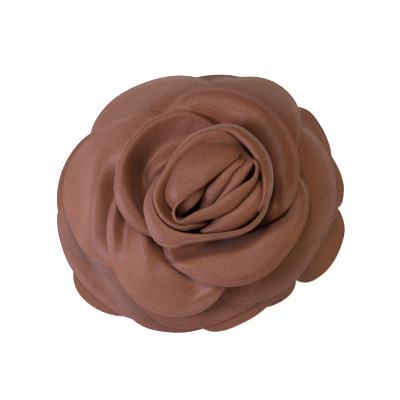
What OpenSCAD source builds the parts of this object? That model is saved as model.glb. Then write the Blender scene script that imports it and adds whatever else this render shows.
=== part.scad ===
// Satin rose on a sprung hair clip, lying on its back: the petals face +Z.
// The origin is at the middle of the outline, on the surface that the rose lies on.

/* [Flower] */
// Distance of the flower's axis from the origin, along X
axis_x = 5; // [0:0.5:8]
// Thickness of a folded double layer of satin
satin_t = 0.5; // [0.3:0.05:0.5]
// Radius of the sewn core that the petals are gathered round
core_r = 8; // [6:0.5:8]
// Height of the heart's seat on the core
heart_z = 25.2; // [25:0.1:26]
// Radius of the heart's outermost ring at its rim
heart_r = 22.5; // [20:0.1:22.5]

/* [Backing] */
// Radius of the felt disc behind the petals
felt_r = 24; // [20:0.5:24]
// Thickness of the felt
felt_t = 1.2; // [0.8:0.1:1.2]
// Height of the felt's lower face, where the clip is glued
felt_z = 10.8; // [10.8:0.1:11]

/* [Clip] */
// Length of the clip from its thumb end to its tip
clip_len = 57; // [50:1:58]
// Width of the upper jaw
clip_w = 10; // [9:0.5:12]
// Thickness of the sheet steel
steel_t = 0.6; // [0.5:0.05:0.7]
// Distance of the hinge from the thumb end
hinge_back = 12; // [10:0.5:14]
// Height of the hinge axis
hinge_z = 6.6; // [6.4:0.1:6.8]
// Radius of the hinge pin
pin_r = 1; // [0.8:0.1:1.1]
// Radial clearance of the lower jaw on the pin
pin_clearance = 0.06; // [0.02:0.01:0.1]
// Radius of the spring wire
wire_r = 0.35; // [0.25:0.05:0.35]
// Number of turns in the spring
spring_turns = 8; // [5:1:8]
// Number of teeth at the tip of the lower jaw
teeth = 4; // [3:1:5]

/* [Hidden] */
$fn = 96;
slit = 1;           // angle left open between neighbouring back petals
tall = 80;          // taller than the flower
eps = 0.02;         // gap that keeps touching faces apart

// The petals are nested shells of revolution round the flower's axis. At each of these
// radii, the lowest layer has its top at LOW and the highest layer has its top at HIGH.
RADII = [core_r, 14, 18, 21, 24, 28, 32, 36, 40, 44, 48, 52, 56, 62];
LOW = [13.2, 13.2, 13.2, 13.2, 13.2, 12.8, 12.2, 11.2, 9, 6, 2.9, 0.8, 0.5, 0.5];
HIGH = [20.5, 21.5, 23, 24.8, 27.2, 30.4, 32.6, 33, 31, 27.6, 23.5, 19, 14, 8];
LAYERS = 14;

// Each petal: name, centre x and y of its round edge, radius of that edge, layer,
// start angle and end angle round the flower's axis.
PETALS = [
    ["back_petal_top", 8, 23.5, 27.5, 0, 40, 130],
    ["back_petal_left", -25, 4, 30, 0, 130, 195],
    ["back_petal_lower_left", -27, -23.5, 23, 0, 195, 228],
    ["back_petal_bottom", -8, -23.5, 27.5, 0, 228, 283],
    ["back_petal_bottom_right", 20, -21, 20, 0, 283, 318],
    ["back_petal_lower_right", 31, -10, 24, 0, 318, 355],
    ["back_petal_right", 27.5, 5, 27.5, 0, 355, 400],
    ["outer_petal_upper_right", 25, 13, 26, 1, 0, 50],
    ["outer_petal_lower_left", -21, -15, 32, 2, 176, 260],
    ["outer_petal_lower_right", 14, -15, 34, 3, 256, 357],
    ["middle_petal_bottom", -1, -20.5, 29.5, 4, 234, 302],
    ["middle_petal_lower_right", 15, -13, 29.5, 5, 260, 342],
    ["middle_petal_right", 22, 1, 29, 6, -46, 42],
    ["middle_petal_upper_right", 16, 23, 24, 7, 8, 102],
    ["middle_petal_upper_left", -12, 13, 32, 8, 78, 170],
    ["front_petal_left", -21, 1, 30.5, 9, 124, 230],
    ["front_petal_lower_left", -8, -20, 28.5, 10, 184, 290],
    ["front_petal_lower_right", 10, -6.5, 30.5, 11, 222, 372],
    ["crescent_petal_upper_right", 5, 1, 34, 12, -52, 132],
    ["crescent_petal_left", -3, -1, 30, 13, 80, 240],
];

// Each petal of the heart: name, radius at the rim, height of the rim, start and end angle.
HEART = [
    ["heart_outer_ring", heart_r, 43.2, -52, 166],
    ["heart_inner_ring", heart_r - 1.8, 42, 60, 345],
    ["heart_wrap", heart_r - 5, 40.5, 198, 382],
    ["heart_curl", heart_r - 8.5, 44, 204, 372],
];
lean = 0.24;                    // how far a heart petal leans out for each mm that it rises

hinge_x = hinge_back - clip_len / 2 + 1.5;
tail_x = hinge_x - hinge_back;
tip_x = tail_x + clip_len;
plate_z = felt_z - steel_t;     // lower face of the upper jaw
sole_z = 3.9;                   // lower face of the lower jaw's straight stretch
ear_r = 2.4;
ear_gap = 0.4;                  // between the upper jaw's ears and the lower jaw
lower_w = clip_w - 2 * steel_t - 2 * ear_gap;
coil_r = pin_r + 0.25 + wire_r;
coil_pitch = 2 * wire_r;        // the turns touch each other
coil_half = (spring_turns - 1) * coil_pitch / 2;
cover_t = 0.7;
cover_len = 22;

PIECES = ["collar_petal", "heart_hood", "heart_tongue", "rolled_core", "glue_layer", "felt_backing",
    "clip_cover", "upper_jaw", "lower_jaw", "hinge_pin", "torsion_spring"];

function layer_z(i, layer) = LOW[i] + (HIGH[i] - LOW[i]) * layer / LAYERS;

module on_axis() translate([axis_x, 0, 0]) children();

// Cross-section of one layer of petals: a thin band that follows the layer's height.
module layer_section(layer) {
    last = len(RADII) - 1;
    polygon(concat(
        [for (i = [0:last]) [RADII[i], layer_z(i, layer)]],
        [for (i = [last:-1:0]) [RADII[i], layer_z(i, layer) - satin_t]]
    ));
}

// One petal: a sector of its layer, cut to the round edge of the folded cloth.
module petal(p) {
    trim = p[4] == 0 ? slit / 2 : 0;
    color([0.50, 0.33, 0.25])
        intersection() {
            on_axis()
                rotate([0, 0, p[5] + trim])
                    rotate_extrude(angle = p[6] - p[5] - 2 * trim)
                        layer_section(p[4]);
            translate([p[1], p[2], -1]) cylinder(r = p[3], h = tall);
        }
}

// A petal of the heart: an upright band that leans out and rolls over at its rim.
module heart_petal(h) {
    rise = h[2] - heart_z;
    foot = h[1] - lean * rise;
    color([0.54, 0.35, 0.26])
        on_axis()
            rotate([0, 0, h[3]])
                rotate_extrude(angle = h[4] - h[3])
                    polygon([[foot, heart_z], [h[1] - 0.4, h[2] - 1.2], [h[1] + 0.3, h[2]],
                        [h[1] - satin_t, h[2]], [h[1] - 0.4 - satin_t, h[2] - 1.2],
                        [foot - satin_t, heart_z]]);
}

// The collar bulges out round the lower side of the bud and closes in at its rim.
module collar_petal() {
    color([0.52, 0.34, 0.26])
        on_axis()
            rotate([0, 0, 172])
                rotate_extrude(angle = 168)
                    polygon([[19, heart_z + 0.4], [24.5, 29.5], [28, 34], [27.2, 38.5], [24.6, 41.6],
                        [24.2, 41.2], [26.7, 38.3], [27.4, 34.1], [24, 29.9], [18.5, heart_z + 0.6]]);
}

// The hood closes over one side of the bud.
module heart_hood() {
    color([0.55, 0.34, 0.22])
        on_axis()
            rotate([0, 0, 38])
                rotate_extrude(angle = 160)
                    polygon([[9, heart_z], [11.2, 34], [11, 40], [8.6, 45], [4.5, 47.6], [1.5, 48],
                        [1.5, 47.5], [4.3, 47.1], [8.2, 44.6], [10.5, 39.8], [10.7, 34], [8.5, heart_z]]);
}

// The tongue is the small fold left standing in the middle of the bud.
module heart_tongue() {
    color([0.52, 0.38, 0.33])
        on_axis()
            rotate([0, 0, -62])
                rotate_extrude(angle = 92)
                    polygon([[4, heart_z], [6.6, 35], [6.2, 42], [5.7, 42], [6.1, 35], [3.5, heart_z]]);
}

// The gathered cloth ends, rolled and sewn into a stem that flares into the heart's seat.
module rolled_core() {
    color([0.36, 0.22, 0.16])
        on_axis()
            rotate_extrude()
                polygon([[0, felt_z + felt_t], [core_r - eps, felt_z + felt_t], [core_r - eps, 20.6],
                    [14, 21.7], [17.4, 23.2], [18.1, heart_z], [0, heart_z]]);
}

// Hot glue between the felt and the backs of the petals.
module glue_layer() {
    color([0.85, 0.80, 0.70])
        on_axis()
            difference() {
                translate([0, 0, felt_z + felt_t])
                    cylinder(r = felt_r - 4, h = LOW[0] - satin_t - felt_z - felt_t);
                translate([0, 0, felt_z])
                    cylinder(r = core_r, h = 10);
            }
}

module felt_backing() {
    color([0.26, 0.17, 0.13])
        translate([tip_x - clip_len / 2, 0, felt_z])
            cylinder(r = felt_r, h = felt_t);
}

// A felt patch that passes under the upper jaw and is glued to the felt on both sides.
module clip_cover() {
    outer = clip_w + 2 * cover_t + 2 * eps;
    color([0.26, 0.17, 0.13])
        translate([hinge_x + 10, 0, 0])
            difference() {
                translate([0, -outer / 2, plate_z - cover_t])
                    cube([cover_len, outer, cover_t + steel_t]);
                translate([-1, -clip_w / 2 - eps, plate_z])
                    cube([cover_len + 2, clip_w + 2 * eps, 5]);
            }
}

// A flat strip along X with one round end.
module strip(x0, x1, width, z) {
    translate([x0, -width / 2, z]) cube([x1 - x0 - width / 2, width, steel_t]);
    translate([x1 - width / 2, 0, z]) cylinder(r = width / 2, h = steel_t);
}

// A pair of ears with their outer faces at y = +-half; they reach from the hinge to z_edge.
module ears(half, radius, z_edge) {
    low = min(z_edge, hinge_z);
    for (side = [-1, 1])
        translate([hinge_x, side * (half - steel_t / 2), 0]) {
            translate([0, steel_t / 2, hinge_z]) rotate([90, 0, 0]) cylinder(r = radius, h = steel_t);
            translate([-radius, -steel_t / 2, low]) cube([2 * radius, steel_t, abs(z_edge - hinge_z)]);
        }
}

module pin_hole(clearance) {
    translate([hinge_x, clip_w, hinge_z])
        rotate([90, 0, 0]) cylinder(r = pin_r + clearance, h = 2 * clip_w);
}

// The fixed jaw: a flat strip glued to the felt, with two ears that hold the pin.
module upper_jaw() {
    color([0.72, 0.72, 0.74])
        difference() {
            union() {
                strip(tail_x, tip_x, clip_w, plate_z);
                ears(clip_w / 2, ear_r, felt_z - steel_t / 2);
            }
            pin_hole(eps);
        }
}

// Side view of the lower jaw: thumb tab, straight stretch, rise to the tip and lip.
module lower_jaw_side() {
    lip_z = plate_z - 0.9;
    polygon([[tail_x, 0.7], [hinge_x - 2.6, sole_z], [tip_x - 9, sole_z], [tip_x - 4.4, lip_z],
        [tip_x - 0.5, lip_z], [tip_x - 0.5, lip_z + steel_t], [tip_x - 4.8, lip_z + steel_t],
        [tip_x - 9.4, sole_z + steel_t], [hinge_x - 2.8, sole_z + steel_t], [tail_x, 0.7 + steel_t]]);
}

// The moving jaw, with ears on the pin and a toothed lip.
module lower_jaw() {
    notch = lower_w / (teeth - 0.5) / 2;
    color([0.72, 0.72, 0.74])
        difference() {
            union() {
                translate([0, lower_w / 2, 0]) rotate([90, 0, 0])
                    linear_extrude(height = lower_w) lower_jaw_side();
                ears(lower_w / 2, ear_r - 0.2, sole_z + steel_t / 2);
            }
            pin_hole(pin_clearance);
            for (i = [1:teeth - 1])
                translate([tip_x - 0.5, (i - teeth / 2) * lower_w / teeth, 0])
                    rotate([0, 0, 45]) cube([notch, notch, 2 * tall], center = true);
        }
}

// The rivet: its two heads stand on the outside of the upper jaw's ears.
module hinge_pin() {
    head_t = 0.6;
    half = clip_w / 2 + eps;
    color([0.62, 0.62, 0.64])
        translate([hinge_x, 0, hinge_z])
            rotate([90, 0, 0]) {
                cylinder(r = pin_r, h = 2 * half + head_t, center = true);
                for (side = [0, 1]) mirror([0, 0, side])
                    translate([0, 0, half]) cylinder(r = 1.8 * pin_r, h = head_t);
            }
}

// A coil round the pin, with one leg under the upper jaw and one on the lower jaw.
module torsion_spring() {
    leg = 9;
    rise = plate_z - wire_r - eps - hinge_z - coil_r;
    color([0.55, 0.55, 0.57])
        translate([hinge_x, 0, hinge_z]) {
            rotate([90, 0, 0]) rotate_extrude() coil_section();
            translate([0, coil_half - 0.1, coil_r])
                rotate([0, 90 - atan(rise / leg), 0]) cylinder(r = wire_r, h = leg);
            translate([0, 0.1 - coil_half, -coil_r])
                rotate([0, 90, 0]) cylinder(r = wire_r, h = leg);
        }
}

// Half of the coil's cross-section: its turns are close together, so they show as grooves.
module coil_section() {
    inner = coil_r - wire_r;
    end = coil_half + wire_r;
    polygon(concat(
        [[inner, end], [inner, -end]],
        [for (i = [0:spring_turns - 1], groove = [0, 1])
            [coil_r + (groove == 0 ? 0.3 : 1) * wire_r, -end + (i + groove / 2) * coil_pitch]],
        [[coil_r + 0.3 * wire_r, end]]
    ));
}

for (p = PETALS) petal(p);
for (h = HEART) heart_petal(h);
collar_petal();
heart_hood();
heart_tongue();
rolled_core();
glue_layer();
felt_backing();
clip_cover();
upper_jaw();
lower_jaw();
hinge_pin();
torsion_spring();
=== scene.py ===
"""A satin rose on a sprung hair clip, built around its CAD frame.

Shapes are in millimetres until they become meshes.
"""

import math

import bmesh
import bpy
import numpy as np
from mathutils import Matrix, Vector, noise


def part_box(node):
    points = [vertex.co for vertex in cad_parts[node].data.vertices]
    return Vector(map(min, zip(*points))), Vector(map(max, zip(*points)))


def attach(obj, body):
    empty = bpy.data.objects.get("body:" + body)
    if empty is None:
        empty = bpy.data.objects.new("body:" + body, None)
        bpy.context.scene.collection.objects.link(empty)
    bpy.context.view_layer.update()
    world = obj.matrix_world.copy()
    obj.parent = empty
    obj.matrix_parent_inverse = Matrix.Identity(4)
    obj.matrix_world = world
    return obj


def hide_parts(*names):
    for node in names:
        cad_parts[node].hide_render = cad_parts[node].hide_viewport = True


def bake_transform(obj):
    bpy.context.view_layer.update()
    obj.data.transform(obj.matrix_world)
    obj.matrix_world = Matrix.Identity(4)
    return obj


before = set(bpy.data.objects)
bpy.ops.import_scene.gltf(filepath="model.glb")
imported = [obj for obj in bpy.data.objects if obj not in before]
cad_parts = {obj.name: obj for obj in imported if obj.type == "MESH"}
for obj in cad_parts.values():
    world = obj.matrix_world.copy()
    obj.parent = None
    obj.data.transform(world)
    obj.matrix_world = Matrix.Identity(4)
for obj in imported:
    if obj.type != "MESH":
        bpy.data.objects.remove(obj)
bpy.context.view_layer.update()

MM = 0.001
core_low, core_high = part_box("rolled_core")
AXIS = np.array([core_low.x + core_high.x, core_low.y + core_high.y]) / 2 / MM
FOOT = 8.5  # radius at which the outer petals leave the core

# Height of the lowest and the highest layer of outer petals at these distances from the axis.
RADII = [8, 14, 18, 21, 24, 28, 32, 36, 40, 44, 48, 52, 56, 62]
LOW = [13.2, 13.2, 13.2, 13.2, 13.2, 12.8, 12.2, 11.2, 9, 6, 2.9, 0.8, 0.5, 0.5]
HIGH = [20.5, 21.5, 23, 24.8, 27.2, 30.4, 32.6, 33, 31, 27.6, 23.5, 19, 14, 8]
LAYERS = 14

COLUMNS = 110  # samples along a petal's rim
ROWS = 34  # samples from a petal's foot to its rim


# ---------------------------------------------------------------- curves and surfaces


def smooth_line(points, count):
    """count points on a smooth curve through the given points."""
    p = np.array(points, float)
    steps = np.linalg.norm(np.diff(p, axis=0), axis=1) ** 0.5
    knots = np.concatenate([[0], np.cumsum(np.maximum(steps, 1e-6))])
    slopes = np.gradient(p, knots, axis=0)
    at = np.linspace(0, knots[-1], count)
    i = np.clip(np.searchsorted(knots, at, side="right") - 1, 0, len(knots) - 2)
    width = (knots[i + 1] - knots[i])[:, None]
    s = (at - knots[i])[:, None] / width
    return (
        (2 * s**3 - 3 * s**2 + 1) * p[i]
        + (s**3 - 2 * s**2 + s) * width * slopes[i]
        + (3 * s**2 - 2 * s**3) * p[i + 1]
        + (s**3 - s**2) * width * slopes[i + 1]
    )


def smooth_value(xs, ys, x):
    """A smooth function of x through the given values, flat beyond its ends."""
    line = smooth_line(list(zip(xs, ys)), 40 * len(xs))
    return np.interp(x, line[:, 0], line[:, 1])


def ease(x):
    x = np.clip(x, 0, 1)
    return x * x * (3 - 2 * x)


def layer_height(radius, layer):
    low = smooth_value(RADII, LOW, radius)
    high = smooth_value(RADII, HIGH, radius)
    return low + (high - low) * layer / LAYERS


def ripple(x, y, scale, seed):
    flat = [noise.noise(Vector((a / scale, b / scale, seed * 7.3))) for a, b in zip(x.ravel(), y.ravel())]
    return np.array(flat).reshape(x.shape)


def ridge(x, y, start, end, width):
    """1 along the line from start to end, fading to 0 at about twice width beside it and at its ends."""
    a, b = np.array(start, float), np.array(end, float)
    d = b - a
    along = ((x - a[0]) * d[0] + (y - a[1]) * d[1]) / (d @ d)
    side = ((x - a[0]) * d[1] - (y - a[1]) * d[0]) / np.hypot(*d)
    return np.exp(-((side / width) ** 2)) * np.exp(-((np.abs(2 * along - 1) / 1.05) ** 4))


TILT = math.radians(77)  # how far the front view looks down
TARGET = Vector((0, -2.1, 12))  # the point that it looks at
DISTANCE = 800
MIDDLE = 0.65  # how far above the origin of v the view has its centre
VIEW_WIDTH = 152  # what the front view takes in at its target
FLOWER = Vector((0, 0, 0.02))  # what the lights point at, in metres
LAYER_GAP = 0.6  # least height between a petal and those under it


def front(u, v, z):
    """The point at height z that the front view shows at (u, v), measured in the plane of its target."""
    w = v - MIDDLE
    towards = (z - TARGET.z - w * math.cos(TILT)) / (math.sin(TILT) - w * math.cos(TILT) / DISTANCE)
    scale = 1 - towards / DISTANCE
    return (u * scale, TARGET.y + scale * w * math.sin(TILT) - towards * math.cos(TILT), z)


def row(*points):
    return [front(*p) for p in points]


class HeightMap:
    """The top of the petals laid so far, so that the next one rests on them."""

    STEP = 0.5
    REACH = 72

    def __init__(self):
        n = int(2 * self.REACH / self.STEP)
        self.z = np.full((n, n), -50.0)

    def index(self, x, y):
        i = ((x + self.REACH) / self.STEP).astype(int)
        j = ((y + self.REACH) / self.STEP).astype(int)
        return i, j

    def add(self, grid):
        i, j = self.index(grid[..., 0], grid[..., 1])
        for di in (-1, 0, 1):
            for dj in (-1, 0, 1):
                np.maximum.at(self.z, (i + di, j + dj), grid[..., 2])

    def lift(self, grid, gap):
        """Raises the grid smoothly where it would be less than gap above the map."""
        i, j = self.index(grid[..., 0], grid[..., 1])
        need = self.z[i, j] + gap - grid[..., 2]
        soft = 0.25
        raised = np.where(need > -3, soft * np.logaddexp(0, need / soft), 0)
        kernel = np.array([1, 2, 3, 2, 1]) / 9
        for axis in (0, 1):
            padded = np.pad(raised, [(2, 2) if a == axis else (0, 0) for a in (0, 1)], mode="edge")
            raised = sum(
                k * np.take(padded, range(n, n + raised.shape[axis]), axis=axis)
                for n, k in enumerate(kernel)
            )
        out = grid.copy()
        out[..., 2] += raised
        return out


def loft(rows):
    """A surface through rows of points, given from the foot to the rim."""
    lines = np.array([smooth_line(row, COLUMNS) for row in rows])
    return np.array([smooth_line(lines[:, c], ROWS) for c in range(COLUMNS)])


# Hollows that are deepest in one layer and shallower below it, as (layer, start, end, width, height).
SHARED_FOLDS = [(9, (-30, 15), (-31.5, -17), 5.2, -8.0), (10, (-15, -14), (0, -32), 3.2, -2.4)]


def outer_petal(layer, rim, folds=(), profile=None, hollow=17, roll=0.6, wave=0.5, seed=1):
    """A petal of the nested layers.

    rim is (angle, radius) about the axis. profile is (distance from the rim, height), for the part of the
    petal that lies further than hollow from the axis. folds are (start, end, width, height), with their ends
    as the front view shows them.
    """
    angles = np.linspace(rim[0][0], rim[-1][0], COLUMNS)
    reach = smooth_value([a for a, _ in rim], [r for _, r in rim], angles)
    t = 1 - (1 - np.linspace(0, 1, ROWS)) ** 1.35
    radius = FOOT + (reach[:, None] - FOOT) * t[None, :]
    turn = np.radians(angles)[:, None]
    x = AXIS[0] + radius * np.cos(turn)
    y = AXIS[1] + radius * np.sin(turn)
    z = layer_height(radius, layer)
    inward = reach[:, None] - radius
    if profile:
        between_ends = ease((angles - angles[0]) / 20) * ease((angles[-1] - angles) / 34)
        near = ease((radius - hollow) / 6) * between_ends[:, None]
        z = z + (smooth_value([d for d, _ in profile], [h for _, h in profile], inward) - z) * near
    z = z - roll * np.exp(-((inward / 1.3) ** 2))
    free = ease((radius - 12) / 16)
    z = z + wave * ripple(x, y, 17, seed) * free + 0.35 * wave * ripple(x, y, 7, seed + 3) * free
    seen_up = y * math.sin(TILT) + z * math.cos(TILT)
    shared = [(a, b, w, h * (layer / last) ** 2) for last, a, b, w, h in SHARED_FOLDS if layer <= last]
    for start, end, width, height in (*shared, *folds):
        z = z + height * ridge(x, seen_up, start, end, width)
    return np.stack([x, y, np.maximum(z, 0.4)], axis=-1)


def unit(v):
    return v / np.maximum(np.linalg.norm(v, axis=-1, keepdims=True), 1e-9)


def shell(grid, half=0.17, hem=0.13):
    """A closed double layer of cloth round a surface, a little thicker at its folded rim."""
    along = np.gradient(grid, axis=0)
    out = np.gradient(grid, axis=1)
    normal = unit(np.cross(unit(along), unit(out)))
    outward = unit(out)[:, -1]
    gap = np.linalg.norm(grid - grid[:, -1:], axis=-1)
    thick = (half + hem * np.exp(-((gap / 0.9) ** 2)))[..., None]
    upper = grid + normal * thick
    lower = grid - normal * thick
    rim, tip = normal[:, -1], thick[:, -1]
    arc = [
        grid[:, -1] + tip * (rim * math.cos(a) + outward * math.sin(a))
        for a in (math.pi / 4, math.pi / 2, 3 * math.pi / 4)
    ]
    loops = np.concatenate([upper, np.stack(arc, axis=1), lower[:, ::-1]], axis=1)
    n, k = loops.shape[:2]
    faces = []
    for i in range(n - 1):
        for j in range(k):
            nxt = (j + 1) % k
            faces.append((i * k + j, i * k + nxt, (i + 1) * k + nxt, (i + 1) * k + j))
    for i in (0, n - 1):
        for j in range(k // 2):
            a, b, c, d = i * k + j, i * k + j + 1, i * k + k - 2 - j, i * k + k - 1 - j
            face = (a, b, c, d) if b != c else (a, b, d)
            faces.append(face if i == 0 else face[::-1])
    return loops.reshape(-1, 3), faces


def cloth_uv(grid):
    """Distance along and across the cloth, in millimetres, for each point of the surface."""
    across = np.linalg.norm(np.diff(grid, axis=1), axis=-1)
    v = np.concatenate([np.zeros((len(grid), 1)), np.cumsum(across, axis=1)], axis=1)
    along = np.linalg.norm(np.diff(grid[:, -1], axis=0), axis=-1)
    u = np.concatenate([[0], np.cumsum(along)])[:, None] * np.linspace(0.35, 1, grid.shape[1])[None, :]
    return u, v


def new_mesh(name, points, faces):
    mesh = bpy.data.meshes.new(name)
    mesh.from_pydata((np.asarray(points) * MM).tolist(), [], [tuple(f) for f in faces])
    mesh.validate()
    obj = bpy.data.objects.new(name, mesh)
    bpy.context.scene.collection.objects.link(obj)
    edit = bmesh.new()
    edit.from_mesh(mesh)
    bmesh.ops.recalc_face_normals(edit, faces=edit.faces)
    edit.to_mesh(mesh)
    edit.free()
    mesh.polygons.foreach_set("use_smooth", [True] * len(mesh.polygons))
    return obj


def petal_piece(node, grid, material):
    points, faces = shell(grid)
    obj = new_mesh(node + "_cloth", points, faces)
    u, v = cloth_uv(grid)
    column = list(range(ROWS)) + [ROWS - 1] * 3 + list(range(ROWS - 1, -1, -1))
    uv = np.stack([u[:, column], v[:, column]], axis=-1).reshape(-1, 2)
    layer = obj.data.uv_layers.new(name="cloth")
    corners = np.zeros(len(obj.data.loops), int)
    obj.data.loops.foreach_get("vertex_index", corners)
    layer.data.foreach_set("uv", uv[corners].astype(np.float32).ravel())
    obj.data.materials.append(material)
    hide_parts(node)
    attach(obj, "flower")


# ---------------------------------------------------------------- materials


class Nodes:
    """A short way to build a node material."""

    def __init__(self, name):
        self.material = bpy.data.materials.new(name)
        self.material.use_nodes = True
        self.tree = self.material.node_tree
        self.shader = self.tree.nodes["Principled BSDF"]

    def add(self, kind, **values):
        node = self.tree.nodes.new(kind)
        for key, value in values.items():
            if key in node.inputs:
                node.inputs[key].default_value = value
            else:
                setattr(node, key, value)
        return node

    def link(self, a, b):
        self.tree.links.new(a, b)

    def set(self, **values):
        for key, value in values.items():
            self.shader.inputs[key.replace("_", " ")].default_value = value


def satin(name, dark, light):
    n = Nodes(name)
    n.set(Roughness=0.58, Anisotropic=0.4, Specular_IOR_Level=0.45)
    n.set(Sheen_Weight=0.14, Sheen_Roughness=0.5, Sheen_Tint=(0.9, 0.62, 0.58, 1))
    place = n.add("ShaderNodeTexCoord")
    cloud = n.add("ShaderNodeTexNoise", Scale=55.0, Detail=3.0, Roughness=0.55)
    n.link(place.outputs["Object"], cloud.inputs["Vector"])
    ramp = n.add("ShaderNodeValToRGB")
    ramp.color_ramp.elements[0].position, ramp.color_ramp.elements[0].color = 0.3, (*dark, 1)
    ramp.color_ramp.elements[1].position, ramp.color_ramp.elements[1].color = 0.7, (*light, 1)
    n.link(cloud.outputs["Fac"], ramp.inputs["Fac"])
    grain = n.add("ShaderNodeTexNoise", Scale=1500.0, Detail=2.0)
    n.link(place.outputs["Object"], grain.inputs["Vector"])
    spread = n.add("ShaderNodeMapRange")
    spread.inputs["To Min"].default_value, spread.inputs["To Max"].default_value = 0.35, 1.65
    n.link(grain.outputs["Fac"], spread.inputs["Value"])
    tinted = n.add("ShaderNodeVectorMath", operation="MULTIPLY")
    n.link(ramp.outputs["Color"], tinted.inputs[0])
    n.link(spread.outputs["Result"], tinted.inputs[1])
    n.link(tinted.outputs["Vector"], n.shader.inputs["Base Color"])
    uv = n.add("ShaderNodeUVMap", uv_map="cloth")
    warp = n.add("ShaderNodeTexWave", Scale=0.9, Distortion=0.6, Detail=1.0)
    warp.bands_direction = "Y"
    n.link(uv.outputs["UV"], warp.inputs["Vector"])
    weave = n.add("ShaderNodeBump", Strength=0.06, Distance=0.00005)
    n.link(warp.outputs["Fac"], weave.inputs["Height"])
    slub = n.add("ShaderNodeBump", Strength=0.12, Distance=0.0001)
    n.link(grain.outputs["Fac"], slub.inputs["Height"])
    n.link(weave.outputs["Normal"], slub.inputs["Normal"])
    n.link(slub.outputs["Normal"], n.shader.inputs["Normal"])
    return n.material


def felt(name, dark, light):
    n = Nodes(name)
    n.set(Roughness=0.95, Specular_IOR_Level=0.1)
    n.set(Sheen_Weight=0.5, Sheen_Roughness=0.7, Sheen_Tint=(0.75, 0.6, 0.55, 1))
    place = n.add("ShaderNodeTexCoord")
    fibres = n.add("ShaderNodeTexNoise", Scale=900.0, Detail=5.0, Roughness=0.75, Distortion=1.5)
    n.link(place.outputs["Object"], fibres.inputs["Vector"])
    ramp = n.add("ShaderNodeValToRGB")
    ramp.color_ramp.elements[0].position, ramp.color_ramp.elements[0].color = 0.35, (*dark, 1)
    ramp.color_ramp.elements[1].position, ramp.color_ramp.elements[1].color = 0.65, (*light, 1)
    n.link(fibres.outputs["Fac"], ramp.inputs["Fac"])
    n.link(ramp.outputs["Color"], n.shader.inputs["Base Color"])
    bump = n.add("ShaderNodeBump", Strength=0.5, Distance=0.0002)
    n.link(fibres.outputs["Fac"], bump.inputs["Height"])
    n.link(bump.outputs["Normal"], n.shader.inputs["Normal"])
    return n.material


def steel(name, colour, roughness, stretch):
    """Plated steel with fine lines along the strip and a few dull patches."""
    n = Nodes(name)
    n.set(Metallic=1.0)
    place = n.add("ShaderNodeTexCoord")
    along = n.add("ShaderNodeMapping")
    along.inputs["Scale"].default_value = stretch
    n.link(place.outputs["Object"], along.inputs["Vector"])
    lines = n.add("ShaderNodeTexNoise", Scale=400.0, Detail=3.0)
    n.link(along.outputs["Vector"], lines.inputs["Vector"])
    patches = n.add("ShaderNodeTexNoise", Scale=120.0, Detail=2.0)
    n.link(place.outputs["Object"], patches.inputs["Vector"])
    rough = n.add("ShaderNodeMapRange")
    rough.inputs["To Min"].default_value = roughness - 0.08
    rough.inputs["To Max"].default_value = roughness + 0.14
    n.link(patches.outputs["Fac"], rough.inputs["Value"])
    n.link(rough.outputs["Result"], n.shader.inputs["Roughness"])
    ramp = n.add("ShaderNodeValToRGB")
    ramp.color_ramp.elements[0].position = 0.3
    ramp.color_ramp.elements[0].color = (*[0.8 * c for c in colour], 1)
    ramp.color_ramp.elements[1].position, ramp.color_ramp.elements[1].color = 0.7, (*colour, 1)
    n.link(lines.outputs["Fac"], ramp.inputs["Fac"])
    n.link(ramp.outputs["Color"], n.shader.inputs["Base Color"])
    bump = n.add("ShaderNodeBump", Strength=0.08, Distance=0.00005)
    n.link(lines.outputs["Fac"], bump.inputs["Height"])
    n.link(bump.outputs["Normal"], n.shader.inputs["Normal"])
    return n.material


def glue(name):
    n = Nodes(name)
    n.set(Roughness=0.3, Transmission_Weight=0.25, IOR=1.48)
    place = n.add("ShaderNodeTexCoord")
    cloud = n.add("ShaderNodeTexNoise", Scale=180.0, Detail=3.0)
    n.link(place.outputs["Object"], cloud.inputs["Vector"])
    ramp = n.add("ShaderNodeValToRGB")
    ramp.color_ramp.elements[0].color = (0.62, 0.55, 0.42, 1)
    ramp.color_ramp.elements[1].color = (0.8, 0.76, 0.66, 1)
    n.link(cloud.outputs["Fac"], ramp.inputs["Fac"])
    n.link(ramp.outputs["Color"], n.shader.inputs["Base Color"])
    bump = n.add("ShaderNodeBump", Strength=0.4, Distance=0.0004)
    n.link(cloud.outputs["Fac"], bump.inputs["Height"])
    n.link(bump.outputs["Normal"], n.shader.inputs["Normal"])
    return n.material


SATIN = satin("brown_satin", (0.132, 0.047, 0.0225), (0.166, 0.062, 0.030))
FELT = felt("brown_felt", (0.022, 0.011, 0.008), (0.06, 0.032, 0.022))
STEEL = steel("clip_steel", (0.66, 0.66, 0.68), 0.3, (0.15, 3.0, 3.0))
WIRE = steel("spring_steel", (0.5, 0.5, 0.52), 0.25, (1.0, 1.0, 1.0))
GLUE = glue("hot_glue")


# ---------------------------------------------------------------- the outer petals


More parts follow.
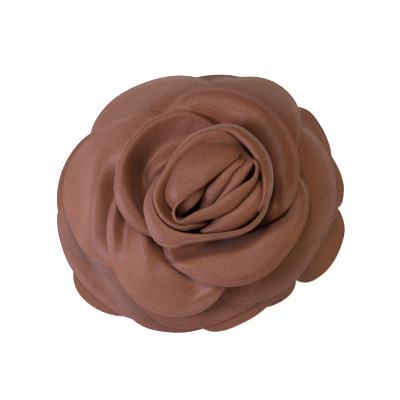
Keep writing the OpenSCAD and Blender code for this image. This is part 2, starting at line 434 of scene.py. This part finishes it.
def crescent_petal_left():
    rim = row((7, 27.5, 29.5), (3, 30.6, 31.6), (-2, 33.2, 33.4), (-7.6, 34.6, 34), (-12.6, 33.6, 34.2),
              (-18, 31.2, 34.2), (-24, 26.4, 34.2), (-28, 21.5, 34.2), (-30.9, 15.4, 34.2),
              (-32.1, 9.2, 34), (-32.2, 3.4, 33.8), (-31, -1.6, 33.2), (-28.2, -6.3, 32.2),
              (-24.2, -9.9, 31.2), (-19.4, -12.7, 30), (-13, -15, 28))
    crest = row((6.9, 26.8, 29.6), (2.8, 29.8, 31.8), (-2, 32.2, 33.4), (-7.2, 33.3, 34.4),
                (-12, 32.3, 34.8), (-17.3, 29.9, 35), (-23, 25.2, 35.2), (-26.6, 20.6, 35.3),
                (-29.3, 14.9, 35.3), (-30.3, 9, 35.2), (-30.2, 3.5, 35), (-29.1, -1, 34.4),
                (-26.5, -5.2, 33.4), (-22.8, -8.8, 32.2), (-18.6, -11.8, 31), (-12.7, -14.4, 28.6))
    shelf = row((6.8, 25.6, 29), (2.4, 27.8, 30.6), (-2, 29.6, 31.6), (-6.6, 30.2, 32.2), (-10.8, 29, 32.4),
                (-15.2, 26.7, 32.4), (-19.8, 22.8, 32.2), (-23.2, 18.6, 32), (-25.6, 13.8, 32),
                (-26.4, 8.6, 33), (-26.4, 3.6, 34.2), (-25, -0.4, 34), (-23, -4.2, 33), (-20.4, -7.4, 31.6),
                (-17.2, -10.6, 29.8), (-12.2, -13.8, 27.6))
    valley = row((6.4, 24.2, 28.2), (2.2, 25, 29), (-2, 25.4, 29.4), (-5.6, 25.4, 29.6), (-8.6, 24.2, 29.6),
                 (-12.2, 22, 29.2), (-16, 18.8, 28.2), (-19.2, 15.2, 27), (-21.6, 11.2, 26),
                 (-22.4, 7.2, 26), (-22.6, 3.2, 26.6), (-22.2, -0.6, 26.8), (-21.2, -4.2, 26.4),
                 (-19.4, -7.4, 25.4), (-16.4, -10.4, 25.2), (-12, -13, 25))
    inner = row((6, 22.8, 27.4), (2.4, 22.8, 27.8), (-1.4, 22.4, 28), (-4.2, 21.6, 28.4), (-6.6, 20.2, 29),
                (-9.2, 18.4, 30.4), (-12.2, 16, 31.6), (-15, 13.6, 31), (-17.6, 10.4, 27.4),
                (-19.2, 6.6, 25.6), (-20, 3, 25.2), (-19.8, -0.4, 25), (-18.8, -3.6, 25), (-17, -6.6, 25),
                (-14.6, -9.4, 25), (-11, -11.6, 24.8))
    return [towards_axis(inner, 0.74, 24.4), inner, valley, shelf, crest, rim]


# From the back to the front, with what outer_petal takes for each. The last has a shape of its own.
OUTER = {
    "back_petal_top": dict(
        layer=0,
        rim=[(38, 26), (52, 44), (68, 50), (95, 50), (108, 47), (122, 40), (134, 26)],
    ),
    "back_petal_left": dict(
        layer=0.3,
        rim=[(126, 26), (138, 46), (150, 54.5), (165, 59), (180, 60), (190, 58), (197, 51), (204, 30)],
    ),
    "back_petal_lower_left": dict(
        layer=0,
        rim=[(192, 28), (201, 54), (208, 60.5), (215, 62.5), (226, 60), (236, 53), (244, 30)],
    ),
    "back_petal_bottom": dict(
        layer=0.6,
        rim=[(218, 28), (226, 48), (232, 54), (240, 55.5), (250, 54), (265, 50), (276, 45), (286, 28)],
    ),
    "back_petal_bottom_right": dict(
        layer=0,
        rim=[(274, 26), (287, 43), (301, 47), (314, 45), (324, 28)],
    ),
    "back_petal_lower_right": dict(
        layer=0.5,
        rim=[(306, 28), (316, 46.5), (325, 50.5), (340, 52), (350, 51), (358, 46), (366, 28)],
    ),
    "back_petal_right": dict(
        layer=0.2,
        rim=[(348, 26), (355, 47), (365, 50.5), (378, 49.5), (386, 47.5), (393, 42), (400, 26)],
    ),
    "outer_petal_upper_right": dict(
        layer=1.4,
        rim=[(-8, 24), (4, 42), (20, 48.5), (35, 51), (45, 51), (53, 45), (62, 26)],
    ),
    "outer_petal_lower_left": dict(
        layer=1.8,
        rim=[(166, 28), (174, 51), (182, 59), (200, 60.5), (220, 58.5), (232, 56.5), (244, 52.5), (254, 45),
             (264, 26)],
    ),
    "outer_petal_lower_right": dict(
        layer=2.6,
        rim=[(252, 26), (260, 46), (268, 51), (285, 49), (303, 45.5), (325, 44), (345, 45.5), (356, 47.5),
             (364, 40), (372, 24)],
    ),
    "middle_petal_bottom": dict(
        layer=3.8,
        rim=[(218, 28), (224, 42), (230, 48.5), (240, 50.5), (250, 52), (265, 50), (280, 46.5), (292, 44),
             (302, 36.5), (311, 24)],
    ),
    "middle_petal_lower_right": dict(
        layer=5,
        rim=[(260, 24), (267, 34), (275, 40.5), (293, 44.5), (326, 44.5), (337, 43.5), (347, 37),
             (356, 24)],
    ),
    "middle_petal_right": dict(
        layer=6,
        rim=[(316, 24), (324, 37), (332, 41.5), (345, 45), (360, 46.5), (386, 45.5), (395, 43.5), (403, 38),
             (411, 24)],
    ),
    "middle_petal_upper_right": dict(
        layer=7,
        rim=[(4, 22), (14, 29), (32, 39), (50, 48.5), (60, 50.5), (68, 50), (78, 47), (90, 44), (99, 37),
             (108, 22)],
    ),
    "middle_petal_upper_left": dict(
        layer=8,
        rim=[(74, 24), (83, 36), (92, 42.5), (105, 48), (120, 51.5), (138, 54.5), (152, 53), (160, 48),
             (168, 37), (176, 24)],
    ),
    "front_petal_left": dict(
        layer=9,
        folds=[((-38.5, 15), (-42.5, -20), 3.0, 1.6)],
        rim=[(114, 22), (123, 33), (138, 42.5), (154, 52), (165, 55.5), (178, 57), (194, 55), (206, 52.5),
             (222, 44), (231, 34), (240, 22)],
    ),
    "front_petal_lower_left": dict(
        layer=10,
        folds=[((-33.5, -4), (-32.5, -24), 1.8, 1.0), ((-27.8, 4), (-27.8, -18), 3.0, -3.5),
               ((-21, -10), (-19.5, -28), 2.6, 1.6), ((-4, -38.5), (7, -32), 1.6, 1.0)],
        rim=[(170, 22), (177, 30), (186, 36.5), (200, 42), (215, 46.5), (228, 49.5), (240, 50.5), (255, 49),
             (268, 44.5), (280, 35), (288, 24)],
    ),
    "front_petal_lower_right": dict(
        layer=11, roll=1.8, hollow=13,
        profile=[(0, 30.5), (4, 31), (10, 31), (14, 30), (17, 28), (22, 24)],
        folds=[((-15, -21), (30, -5), 3.4, -5.0)],
        rim=[(222, 22), (232, 30), (242, 33.5), (260, 36), (280, 39), (295, 39.5), (320, 37.5), (345, 36.5),
             (357, 35), (367, 32), (378, 24)],
    ),
    "crescent_petal_upper_right": dict(
        layer=12, roll=0.8,
        profile=[(0, 32), (3, 33.4), (6, 33.8), (9, 33), (11, 31.4), (13, 28.6), (16, 26), (20, 25)],
        folds=[((30.6, 5), (31, -5), 2.0, 1.6), ((28.4, 9), (28.2, -1), 1.6, -1.6)],
        rim=[(312, 20), (325, 25), (345, 30), (370, 32.5), (400, 34.5), (430, 36.5), (453, 37), (468, 36),
             (482, 32), (492, 26), (500, 20)],
    ),
    "crescent_petal_left": crescent_petal_left,
}


def build_outer_petals():
    laid = HeightMap()
    for seed, (node, spec) in enumerate(OUTER.items(), start=1):
        grid = loft(spec()) if callable(spec) else outer_petal(seed=seed, **spec)
        grid = laid.lift(grid, LAYER_GAP)
        laid.add(grid)
        petal_piece(node, grid, SATIN)


# ---------------------------------------------------------------- the heart


def towards_axis(row, share, height):
    """A row pulled in towards the axis, at one height: the hidden foot of a heart petal."""
    return [(AXIS[0] + (x - AXIS[0]) * share, AXIS[1] + (y - AXIS[1]) * share, height) for x, y, _ in row]


def collar_petal():
    rim = row((-14.6, 10, 37.5), (-16.8, 6.4, 40), (-18.1, 2.4, 41.4), (-18.1, -0.6, 42),
              (-17.2, -3.6, 42.2), (-15.6, -6.5, 42.3), (-12.6, -9.5, 42.3), (-8.5, -11.5, 42.2),
              (-4, -12.4, 42.1), (1, -12.5, 42), (6, -12.2, 42), (10.5, -11.7, 42), (15, -10.8, 42),
              (18.5, -9.2, 41.9), (21.4, -6.7, 41.7), (23.5, -4, 41.5), (24.9, -1, 41), (25.6, 2.6, 39.6))
    crown = row((-15.4, 10, 36), (-18.2, 6, 38.8), (-19.8, 2, 40.6), (-20, -1.4, 41.6), (-19.2, -5.2, 42),
                (-17.2, -8.4, 42), (-13.8, -11.9, 42), (-9.2, -13.8, 42), (-4, -14.1, 42), (1, -13.6, 42),
                (6.2, -12.9, 41.9), (10.9, -12.3, 41.9), (15.4, -11.3, 41.8), (19, -9.7, 41.7),
                (22, -7.1, 41.5), (24.1, -4.3, 41.2), (25.4, -1.2, 40.4), (26.2, 2.5, 38.8))
    edge = row((-16, 9.8, 33), (-19, 5.6, 36.4), (-20.8, 1.4, 38.6), (-21.3, -2.4, 39.8), (-20.5, -7, 40.2),
               (-18.8, -11.8, 40.2), (-15.4, -15.8, 40), (-10.6, -16.9, 40), (-4.6, -15.4, 40.2),
               (1, -14.5, 40.4), (6.4, -13.5, 40.6), (11.2, -12.9, 40.6), (15.8, -11.9, 40.6),
               (19.5, -10.3, 40.4), (22.5, -7.7, 40), (24.6, -4.8, 39.6), (26, -1.4, 38.6),
               (26.6, 2.3, 36.8))
    throat = towards_axis(edge, 0.95, 34)
    return [towards_axis(edge, 0.68, 24), towards_axis(edge, 0.9, 27), throat, edge, crown, rim]


def heart_outer_ring():
    outline = row((2.6, 27.6, 41.4), (5.4, 28.8, 41.7), (8.4, 29.5, 41.9), (12, 29.4, 41.9), (16, 28, 41.8),
                  (20.3, 24.8, 41.7), (24, 20.7, 41.4), (26.4, 16.2, 41), (27.6, 10.7, 40.7),
                  (27.4, 4.6, 40.4), (26, -0.4, 39.8), (23.6, -5, 38.6))
    crest = row((3, 26.2, 43.8), (6, 27.2, 44), (9, 27.7, 44.2), (12.2, 27.1, 44.4), (15.8, 24.5, 44.4),
                (19.2, 20.9, 44.3), (21.8, 17.2, 44.1), (23.4, 13.4, 43.9), (24.7, 8.6, 43.7),
                (24.9, 4.4, 43.4), (24, 0.6, 42.8), (22, -3.4, 41.6))
    edge = row((3.4, 25.2, 43.2), (6.4, 26.4, 43.5), (9.2, 26.9, 43.8), (11.9, 26.2, 43.8),
               (15.2, 23.6, 43.6), (18.5, 20.3, 43.4), (21, 16.7, 43.1), (22.6, 13.1, 42.9),
               (23.8, 8.5, 42.7), (24.1, 4.5, 42.4), (23.2, 1, 41.8), (21.2, -2.8, 40.6))
    wall = [towards_axis(outline, 0.66, 25.5), towards_axis(outline, 0.86, 30)]
    return [*wall, towards_axis(outline, 0.975, 36.5), outline, crest, edge]


def heart_inner_ring():
    outline = row((5, -8, 34), (1.5, -9.2, 38), (-2, -9.9, 40.6), (-6.2, -10.6, 41.8), (-10.5, -9.6, 42),
                  (-14.8, -6.2, 42.2), (-17, -2.2, 42.4), (-17.7, 1.5, 42.6), (-16.9, 5.4, 42.8),
                  (-14.6, 10.2, 43), (-12.6, 13.8, 43), (-10.5, 17.7, 43), (-7.2, 21.9, 42.8),
                  (-3, 25.6, 42.4), (2.4, 27.8, 42), (8, 29, 41.4), (13, 27.8, 40.2), (18, 24, 38.4),
                  (21.6, 19.4, 37), (24.5, 14, 36.5), (25.5, 7, 35.5))
    crest = row((5, -7.6, 35), (1.6, -8.6, 39.2), (-2, -9, 41.8), (-6.2, -9.8, 43), (-10.2, -8.9, 43.2),
                (-14, -5.8, 43.4), (-16.2, -2, 43.6), (-17, 1.5, 43.8), (-16.2, 5.1, 44),
                (-13.9, 9.8, 44.1), (-11.9, 13.4, 44.2), (-9.7, 17.1, 44.3), (-6, 21, 44.4),
                (-1.9, 24.8, 44.5), (3.4, 26.6, 44.5), (7.8, 27.2, 44.1), (12, 25.8, 42.2),
                (16.4, 22.6, 39.8), (19.6, 18.8, 38.2), (22.2, 14, 38), (23.2, 8, 37))
    slope = row((5, -7, 34.5), (1.6, -7.6, 38.2), (-2.2, -7.8, 40.8), (-6.2, -8.6, 41.6),
                (-9.4, -7.5, 41.6), (-12.6, -4.6, 41.8), (-14.6, -1.6, 42.3), (-15.3, 1.8, 42.9),
                (-14.6, 5, 43.2), (-12.6, 9.2, 43.6), (-10.6, 12.6, 43.8), (-8, 16, 44), (-4.5, 19.6, 44.2),
                (-0.6, 22.9, 44.3), (3.8, 24.8, 44.2), (7.6, 25, 43.8), (11.2, 23.8, 42), (14.8, 21, 39.8),
                (17.6, 17.6, 38), (20, 13, 37.6), (21, 8, 36.6))
    tuck = row((5, -6, 33), (1.6, -6, 36), (-2, -6, 37), (-6, -6.5, 37), (-8.5, -5.5, 37.5),
               (-11, -3.5, 38.4), (-12.6, -1, 39.6), (-13, 2.4, 40.8), (-12.2, 5.6, 41.4),
               (-10.4, 9.4, 41.8), (-8.4, 12.4, 42), (-5.6, 15.4, 42.2), (-2.6, 18.4, 42.3),
               (0.6, 20.6, 42.3), (4.4, 21.4, 42.2), (7.6, 21.2, 41.8), (10.8, 20.2, 40.6),
               (13.2, 18.2, 39), (14.8, 15.4, 37.6), (16.4, 11.6, 36.4), (17.6, 8, 35.6))
    return [towards_axis(outline, 0.66, 25.5), towards_axis(outline, 0.9, 34), outline, crest, slope, tuck]


def heart_wrap():
    outer = row((0.4, -10.6, 35), (1, -11.5, 38.6), (6, -11.6, 39.6), (10, -10.9, 40.2), (14, -9.6, 40.6),
                (18, -7.4, 40.8), (21, -4.9, 40.8), (23.2, -1.8, 40.9), (24.1, 1.6, 41), (24, 5, 40.6),
                (23, 8, 39))
    crown = row((4, -8.4, 36.5), (5.6, -9.2, 41), (8.6, -8, 42.2), (11.4, -6.8, 42.8), (14.4, -5, 43.1),
                (17.6, -2.8, 43.3), (20, -0.8, 43.4), (21.8, 1.5, 43.4), (22.7, 3.8, 43.1), (22.8, 6, 42.4),
                (22.2, 8.4, 40))
    inner = row((7.4, -4.6, 37), (9, -4.9, 41.2), (11, -4, 42), (12.6, -3, 42.2), (14.6, -1.4, 42.3),
                (16.6, 0.8, 42.3), (18.4, 2.8, 42.2), (19.8, 4.6, 42), (20.8, 6.2, 41.6), (21.4, 7.8, 40.6),
                (21.4, 9, 39))
    return [towards_axis(outer, 0.7, 27), towards_axis(outer, 0.94, 34), outer, crown, inner,
            towards_axis(inner, 0.92, 36)]


def heart_curl():
    rim = row((-4.6, 1.9, 44.8), (-6.6, 0.5, 45.5), (-8.3, -0.9, 45.5), (-9.4, -2.4, 45.2),
              (-9.8, -4.1, 45), (-9.5, -5.7, 44.8), (-8.6, -7, 44.7), (-7, -7.2, 44.7), (-4, -5.5, 45),
              (-1, -3.8, 45.2), (2, -2.6, 45.4), (5, -1.2, 45.6), (8, 0.8, 45.7), (11, 2.8, 45.8),
              (14, 4.8, 45.8), (16.6, 6.6, 45.7), (18.8, 7.9, 45.6), (20.4, 9.4, 45.5), (21.2, 11.4, 45.4),
              (21.3, 13.2, 45.3), (20.9, 14.6, 45.1), (20, 15.3, 44.8))
    side = row((-5, 2.4, 43), (-7.2, 0.9, 43.4), (-9, -0.6, 43.5), (-10.1, -2.3, 43.3), (-10.5, -4.1, 43.1),
               (-10.2, -6, 43), (-9.1, -7.7, 43), (-7, -8.2, 43), (-3.8, -7.9, 43.3), (-0.6, -7.3, 43.5),
               (2.6, -6.5, 43.7), (5.8, -5.7, 43.8), (9, -4.3, 43.9), (12.2, -2.7, 44), (15, -0.2, 44),
               (17.6, 2.5, 43.9), (19.8, 5, 43.8), (21.4, 7.5, 43.6), (22.1, 10.2, 43.4),
               (22.2, 12.8, 43.3), (21.6, 15, 43), (20.2, 16.2, 42.6))
    middle = [tuple(0.5 * (p + q) + d for p, q, d in zip(a, b, (0, 0, 0.9))) for a, b in zip(rim, side)]
    wall = [towards_axis(side, 0.62, 27), towards_axis(side, 0.9, 37), towards_axis(side, 0.985, 41.5)]
    return [*wall, side, middle, rim]


def heart_hood():
    crease = row((15.3, 18.2, 42.2), (14, 20.2, 42.4), (11, 21.6, 42.6), (6, 22.2, 42.8), (1, 21.9, 42.8),
                 (-3.5, 20.2, 42.7), (-7, 17.4, 42.6), (-9.6, 13.9, 42.4), (-11.4, 10, 42.1),
                 (-12.8, 6, 41.7), (-13.2, 2.5, 41), (-12.4, -0.5, 40.2), (-10.6, -2.9, 39.4))
    crown = row((14.9, 17.5, 44.2), (12.8, 18.2, 45.4), (9.4, 17.8, 46.4), (5, 16.6, 47), (1, 14.8, 47.2),
                (-3, 12.2, 47.1), (-6, 9.2, 46.7), (-8.4, 6.4, 46.2), (-9.9, 4, 45.6), (-10.6, 1.8, 44.8),
                (-10.7, -0.2, 43.6), (-10.5, -1.6, 42.4), (-10.3, -2.7, 41))
    lip = row((14.4, 16.6, 44.3), (12.5, 15, 45.3), (10, 13, 46), (7, 10.8, 46.4), (4, 8.3, 46.6),
              (1.5, 6.4, 46.6), (-1, 4.9, 46.4), (-3.4, 3.4, 46.1), (-5.4, 1.9, 45.6), (-7.2, 0.6, 45),
              (-8.6, -0.6, 44), (-9.6, -1.8, 42.6), (-10.1, -2.7, 41))
    tuck = row((13.8, 16.6, 42.8), (11.9, 15.1, 43.8), (9.4, 13.2, 44.4), (6.4, 11, 44.6), (3.2, 8.4, 44.6),
               (1.2, 5.6, 44.8), (-0.9, 4, 45), (-3, 2.5, 44.9), (-5, 1, 44.5), (-6.6, -0.3, 44),
               (-8, -1.6, 43.2), (-9, -3, 41.8), (-9.6, -4.2, 40))
    deep = row((13, 16.6, 39), (11, 15.2, 39), (8.4, 13.4, 39), (5.4, 11.2, 39), (2.2, 7.6, 39.6),
               (0.8, 3, 42.4), (-0.6, 0.7, 42.8), (-2.4, -1.3, 42.6), (-4.2, -2.7, 41.8),
               (-5.6, -3.8, 40.6), (-6.8, -4.7, 39.4), (-7.6, -5.2, 38), (-8.2, -6, 37))
    return [towards_axis(crease, 0.6, 27), towards_axis(crease, 0.9, 35), crease, crown, lip, tuck, deep]


def heart_tongue():
    left = row((14, 17, 41), (13, 15.9, 43.6), (9, 13.2, 44), (5, 9.8, 43.2), (2.4, 6.8, 42.2),
               (0.8, 3, 40.6), (-0.2, -1, 38), (-1, -3.4, 35.5))
    first = row((16.4, 16.4, 41), (15.4, 15.2, 44.4), (11.5, 12, 45.2), (7.8, 8.4, 44.4), (5.2, 4.4, 42.8),
                (3.4, 0.8, 40.6), (2.2, -2, 38.2), (1.4, -3.8, 35.5))
    brow = row((17.4, 16.2, 41.2), (16.5, 15, 44.6), (12.8, 11.5, 45), (10.2, 7.6, 44.1), (8, 4.4, 42.8),
               (5.8, 1.2, 40.9), (4, -1.4, 38.4), (3, -3.2, 35.8))
    groove = row((17.9, 16.1, 41), (17.1, 14.9, 43.7), (13.4, 11.2, 43.8), (10.9, 7.2, 42.9),
                 (8.8, 4, 41.6), (6.5, 0.9, 39.8), (4.6, -1.6, 37.6), (3.6, -3.4, 35.4))
    second = row((19.6, 16.3, 41.8), (18.7, 14.9, 45), (15.5, 11.2, 45.2), (13, 7.4, 44.4), (10.9, 4.6, 43),
                 (8.2, 1.8, 41.2), (5.8, -0.8, 38.8), (4.6, -3, 36))
    rim = row((21, 16, 42.4), (20.3, 15, 45), (18, 11.2, 44.9), (15.6, 7.3, 44.2), (13.2, 4.8, 42.9),
              (10, 2.2, 41.2), (7, -0.4, 38.8), (5.4, -2.8, 36))
    return [towards_axis(left, 0.5, 30), left, first, brow, groove, second, rim, towards_axis(rim, 0.97, 38)]


def build_heart():
    rings = (collar_petal, heart_outer_ring, heart_inner_ring)
    bud = (heart_wrap, heart_curl, heart_hood, heart_tongue)
    for make in rings + bud:
        petal_piece(make.__name__, loft(make()), SATIN)


# ---------------------------------------------------------------- core, backing and clip


def lathe(rings, count=96):
    """Points and faces of a closed body through rings of (radius, height), from pole to pole upwards."""
    rings = np.array(rings, float)
    turn = np.linspace(0, 2 * math.pi, count, endpoint=False)
    points = [(0, 0, rings[0, 1])]
    for radius, height in rings:
        points += [(radius * math.cos(a), radius * math.sin(a), height) for a in turn]
    points.append((0, 0, rings[-1, 1]))
    faces = []
    for i in range(count):
        j = (i + 1) % count
        faces.append((0, 1 + j, 1 + i))
        for k in range(len(rings) - 1):
            p = 1 + k * count
            faces.append((p + i, p + j, p + count + j, p + count + i))
        last = 1 + (len(rings) - 1) * count
        faces.append((last + i, last + j, len(points) - 1))
    return np.array(points), faces


def build_core():
    """The rolled strip of satin that the petals are sewn to: its turns show as a spiral on its top."""
    bottom, top = core_low.z / MM, core_high.z / MM
    wide = (core_high.x - core_low.x) / 2 / MM
    profile = [(0.5, bottom), (6, bottom), (7.6, bottom + 0.3), (7.9, bottom + 1)]
    profile += [(7.9, 20.2), (9, 20.9), (13.6, 21.8)]
    profile += [(wide - 1.2, top - 2), (wide - 0.3, top - 1), (wide - 0.7, top - 0.2)]
    profile += [(r, top - 0.05) for r in np.arange(wide - 1.4, 0.4, -0.45)]
    points, faces = lathe(profile, 128)
    radius = np.hypot(points[:, 0], points[:, 1])
    turn = np.arctan2(points[:, 1], points[:, 0]) / (2 * math.pi)
    groove = np.abs(((radius / 1.7 - turn) % 1) - 0.5) * 2
    on_top = points[:, 2] > top - 0.3
    points[:, 2] -= np.where(on_top, 0.9 * groove**4, 0)
    points[:, :2] += AXIS
    core = new_mesh("rolled_core_cloth", points, faces)
    core.data.uv_layers.new(name="cloth")
    core.data.materials.append(SATIN)
    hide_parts("rolled_core")
    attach(core, "flower")


def build_felt_disc():
    low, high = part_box("felt_backing")
    centre = np.array([low.x + high.x, low.y + high.y]) / 2 / MM
    radius, bottom, top = (high.x - low.x) / 2 / MM, low.z / MM, high.z / MM
    rings = [(r, bottom) for r in np.arange(1.2, radius - 0.4, 1.2)]
    rings += [(radius - 0.25, bottom + 0.05), (radius, bottom + 0.35)]
    rings += [(radius, top - 0.35), (radius - 0.25, top - 0.05)]
    rings += [(r, top) for r in np.arange(radius - 1.2, 1, -1.6)]
    points, faces = lathe(rings, 160)
    fuzz = ripple(points[:, 0], points[:, 1], 2.2, 5) * 0.09
    fuzz[points[:, 2] > (top + bottom) / 2] *= -0.5
    edge = np.hypot(points[:, 0], points[:, 1]) / radius
    wobble = 1 - 0.012 * np.abs(ripple(points[:, 0], points[:, 1], 5, 9)) * edge**4
    points[:, :2] *= wobble[:, None]
    points[:, :2] += centre
    points[:, 2] += np.abs(fuzz) * np.where(points[:, 2] < (top + bottom) / 2, 1, -1)
    disc = new_mesh("felt_disc", points, faces)
    disc.data.materials.append(FELT)
    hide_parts("felt_backing")
    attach(disc, "flower")


def build_clip_cover():
    """A felt patch that passes under the upper jaw; its wings lie on the felt disc on both sides."""
    low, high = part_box("clip_cover")
    x0, x1 = low.x / MM, high.x / MM
    half, bottom = high.y / MM, low.z / MM
    thick = 0.7
    sheet_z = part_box("felt_backing")[0].z / MM - thick / 2
    path = [(-half - 5.2, sheet_z), (-half - 3, sheet_z), (-half - 0.9, sheet_z - 0.02)]
    path += [(-half + 0.05, sheet_z - 0.3), (-half + 0.8, bottom + 0.42)]
    path += [(-half + 1.8, bottom + thick / 2), (-1.5, bottom + thick / 2)]
    path += [(-y, z) for y, z in reversed(path)]
    line = smooth_line(path, 90)
    xs = np.linspace(x0 + 0.3, x1 - 0.3, 46)
    grid = np.array([[(x, y, z) for y, z in line] for x in xs])
    bow = 0.35 * (np.abs(grid[..., 1]) > half) * np.cos((grid[..., 0] - (x0 + x1) / 2) / (x1 - x0) * math.pi)
    grid[..., 1] += np.sign(grid[..., 1]) * bow
    normal = unit(np.cross(np.gradient(grid, axis=0), np.gradient(grid, axis=1)))
    fuzz = (np.abs(ripple(grid[..., 0], grid[..., 1], 1.8, 11)) * 0.05)[..., None]
    upper = grid + normal * (thick / 2 - 0.02 - fuzz)
    lower = grid - normal * (thick / 2 - 0.02 - fuzz)
    n, m = grid.shape[:2]
    loops = np.concatenate([upper, grid[:, -1:] * 1.0, lower[:, ::-1], grid[:, :1] * 1.0], axis=1)
    for column, sign in ((m, 1), (2 * m + 1, -1)):
        loops[:, column, 1] += sign * 0.25
    k = loops.shape[1]
    faces = [
        (i * k + j, i * k + (j + 1) % k, (i + 1) * k + (j + 1) % k, (i + 1) * k + j)
        for i in range(n - 1)
        for j in range(k)
    ]
    points = loops.reshape(-1, 3)
    for i in (0, n - 1):
        ring = [i * k + j for j in range(m)]
        back = [i * k + 2 * m - j for j in range(m)]
        ends = [(a, b, c, d) for a, b, c, d in zip(ring, ring[1:], back[1:], back)]
        ends.append((ring[-1], i * k + m, back[-1]))
        ends.append((ring[0], back[0], i * k + 2 * m + 1))
        faces += ends if i else [f[::-1] for f in ends]
    cover = new_mesh("clip_cover_felt", points, faces)
    cover.data.materials.append(FELT)
    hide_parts("clip_cover")
    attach(cover, "flower")


def build_spring():
    """The wire of the torsion spring: a close coil round the pin and two straight legs."""
    low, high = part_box("torsion_spring")
    pin_low, pin_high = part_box("hinge_pin")
    hinge = np.array([pin_low.x + pin_high.x, pin_low.y + pin_high.y, pin_low.z + pin_high.z]) / 2 / MM
    wire = 0.35
    coil = hinge[0] - low.x / MM - wire
    half = (high.y - low.y) / 2 / MM - wire
    turns = 7.5
    leg = high.x / MM - hinge[0] - wire * 0.6
    rise = high.z / MM - wire - hinge[2] - coil
    path = [(leg * (1 - t), half, coil + rise * (1 - t)) for t in np.linspace(0, 1, 8)[:-1]]
    for a in np.linspace(0, 2 * math.pi * turns, int(turns * 28) + 1):
        share = a / (2 * math.pi * turns)
        path.append((-coil * math.sin(a), half * (1 - 2 * share), coil * math.cos(a)))
    path += [(leg * t, -half, -coil) for t in np.linspace(0, 1, 8)[1:]]
    path = np.array(path) + hinge
    along = unit(np.gradient(path, axis=0))
    side = unit(np.cross(along, np.where(np.abs(along[:, 1:2]) > 0.9, [[1.0, 0, 0]], [[0, 1.0, 0]])))
    up = np.cross(along, side)
    around = np.linspace(0, 2 * math.pi, 10, endpoint=False)
    circle = np.cos(around)[:, None] * side[:, None] + np.sin(around)[:, None] * up[:, None]
    rings = path[:, None] + wire * 0.97 * circle
    n, k = rings.shape[:2]
    faces = [
        (i * k + j, i * k + (j + 1) % k, (i + 1) * k + (j + 1) % k, (i + 1) * k + j)
        for i in range(n - 1)
        for j in range(k)
    ]
    faces += [tuple(range(k))[::-1], tuple((n - 1) * k + j for j in range(k))]
    spring = new_mesh("spring_wire", rings.reshape(-1, 3), faces)
    spring.data.materials.append(WIRE)
    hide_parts("torsion_spring")
    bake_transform(spring)


def finish_cad_parts():
    finishes = {"glue_layer": GLUE, "upper_jaw": STEEL, "lower_jaw": STEEL, "hinge_pin": STEEL}
    for node, material in finishes.items():
        obj = bpy.data.objects[node]
        obj.data.materials.clear()
        obj.data.materials.append(material)


# ---------------------------------------------------------------- stage


def light(name, place, power, size, colour):
    """A soft box at place, in metres, turned to the flower."""
    data = bpy.data.lights.new(name, "AREA")
    data.energy = power
    data.color = colour
    data.size = size
    obj = bpy.data.objects.new(name, data)
    bpy.context.scene.collection.objects.link(obj)
    obj.location = place
    obj.rotation_mode = "QUATERNION"
    obj.rotation_quaternion = (FLOWER - Vector(place)).to_track_quat("-Z", "Y")


def build_stage():
    side, below = 3000, -0.05
    corners = [(-side, -side, below), (side, -side, below), (side, side, below), (-side, side, below)]
    floor = new_mesh("floor", corners, [(0, 1, 2, 3)])
    n = Nodes("pale_floor")
    n.set(Base_Color=(0.9, 0.9, 0.9, 1), Roughness=0.8, Emission_Color=(1, 1, 1, 1), Emission_Strength=0.85)
    floor.data.materials.append(n.material)
    world = bpy.data.worlds.new("studio")
    world.use_nodes = True
    background = world.node_tree.nodes["Background"]
    background.inputs["Color"].default_value = (1, 0.78, 0.58, 1)
    background.inputs["Strength"].default_value = 0.07
    bpy.context.scene.world = world
    light("cool_side", (-0.27, -0.1, 0.25), 1.6, 0.12, (0.9, 0.8, 1.0))
    light("overhead", (-0.05, 0.16, 0.55), 1.68, 0.1, (1.0, 0.84, 0.7))
    light("warm_side", (0.74, -0.18, 0.46), 2.7, 0.35, (1.0, 0.6, 0.26))


def build_camera():
    data = bpy.data.cameras.new("camera")
    camera = bpy.data.objects.new("camera", data)
    bpy.context.scene.collection.objects.link(camera)
    back = Vector((0, -math.cos(TILT), math.sin(TILT)))
    camera.location = (TARGET + back * DISTANCE) * MM
    camera.rotation_mode = "QUATERNION"
    camera.rotation_quaternion = (-back).to_track_quat("-Z", "Y")
    data.sensor_width = 36
    data.lens = data.sensor_width * DISTANCE / VIEW_WIDTH
    bpy.context.scene.camera = camera


build_outer_petals()
build_heart()
build_core()
build_felt_disc()
build_clip_cover()
build_spring()
finish_cad_parts()
build_stage()
build_camera()
bpy.context.scene.view_settings.view_transform = "Standard"
